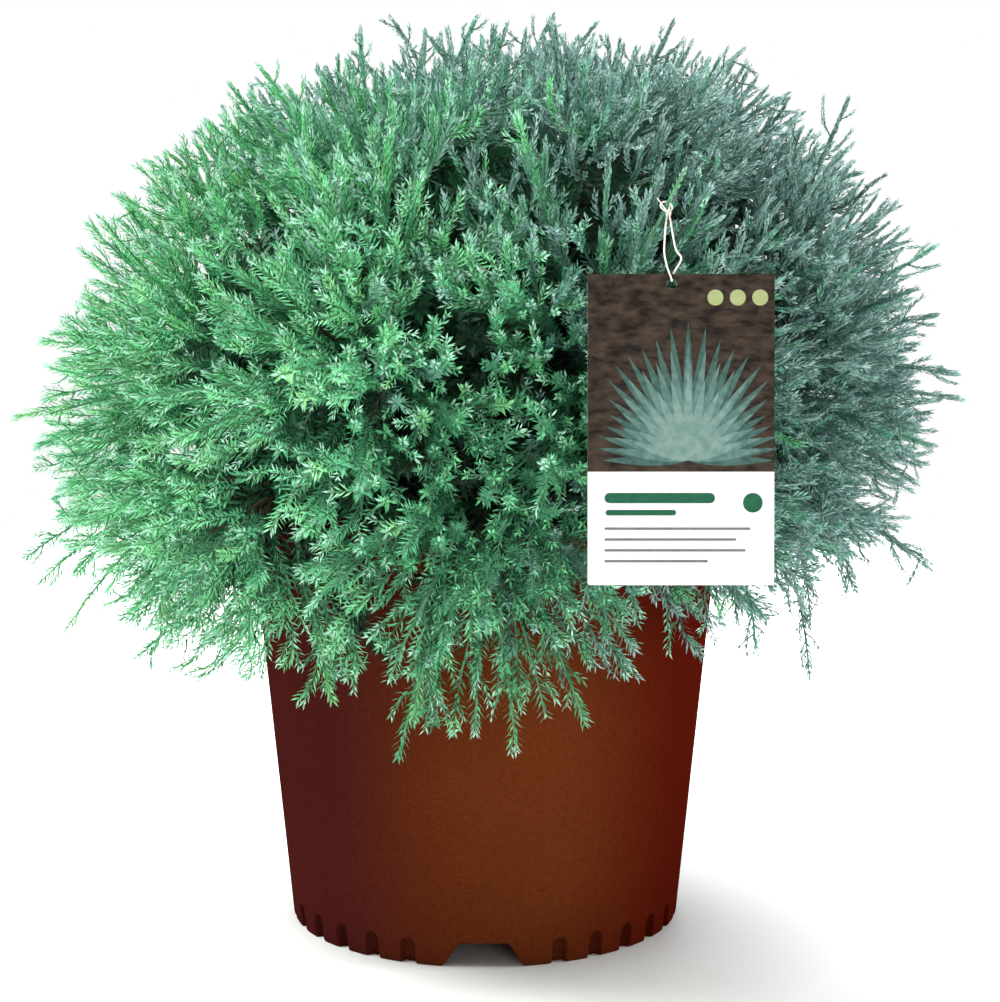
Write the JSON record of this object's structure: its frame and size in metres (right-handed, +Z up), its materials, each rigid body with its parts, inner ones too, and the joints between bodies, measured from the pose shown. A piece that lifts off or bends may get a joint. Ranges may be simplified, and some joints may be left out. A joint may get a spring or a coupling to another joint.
{
  "type": "potted dwarf arborvitae shrub",
  "caption": "Low round evergreen shrub with feathery needle sprays in a tapered plastic nursery pot, with a blank care card hung on a string.",
  "frame": {"origin": "centre of the pot's underside, at the level it stands on", "axes": "+Z up along the pot's axis, -Y towards the front, where the care card hangs, +X to the right seen from the front"},
  "size_m": [0.528, 0.525, 0.5104],
  "materials": {
    "pot": "satin",
    "soil": "matte",
    "bark": "matte",
    "foliage": "matte",
    "card": "satin",
    "string": "matte"
  },
  "bodies": {
    "root": {"bough_middle_1": "bark", "bough_middle_2": "bark", "bough_middle_3": "bark", "bough_middle_4": "bark", "bough_middle_5": "bark", "bough_middle_6": "bark", "bough_middle_7": "bark", "bough_middle_8": "bark", "bough_skirt_1": "bark", "bough_skirt_2": "bark", "bough_skirt_3": "bark", "bough_skirt_4": "bark", "bough_skirt_5": "bark", "bough_skirt_6": "bark", "bough_skirt_7": "bark", "bough_skirt_8": "bark", "bough_top": "bark", "bough_upper_1": "bark", "bough_upper_2": "bark", "bough_upper_3": "bark", "bough_upper_4": "bark", "bough_upper_5": "bark", "mass_middle_1": "foliage", "mass_middle_2": "foliage", "mass_middle_3": "foliage", "mass_middle_4": "foliage", "mass_middle_5": "foliage", "mass_middle_6": "foliage", "mass_middle_7": "foliage", "mass_middle_8": "foliage", "mass_skirt_1": "foliage", "mass_skirt_2": "foliage", "mass_skirt_3": "foliage", "mass_skirt_4": "foliage", "mass_skirt_5": "foliage", "mass_skirt_6": "foliage", "mass_skirt_7": "foliage", "mass_skirt_8": "foliage", "mass_top": "foliage", "mass_upper_1": "foliage", "mass_upper_2": "foliage", "mass_upper_3": "foliage", "mass_upper_4": "foliage", "mass_upper_5": "foliage", "pot": "pot", "soil": "soil", "tag_card": "card", "tag_string": "string", "trunk": "bark"}
  },
  "joints": []
}
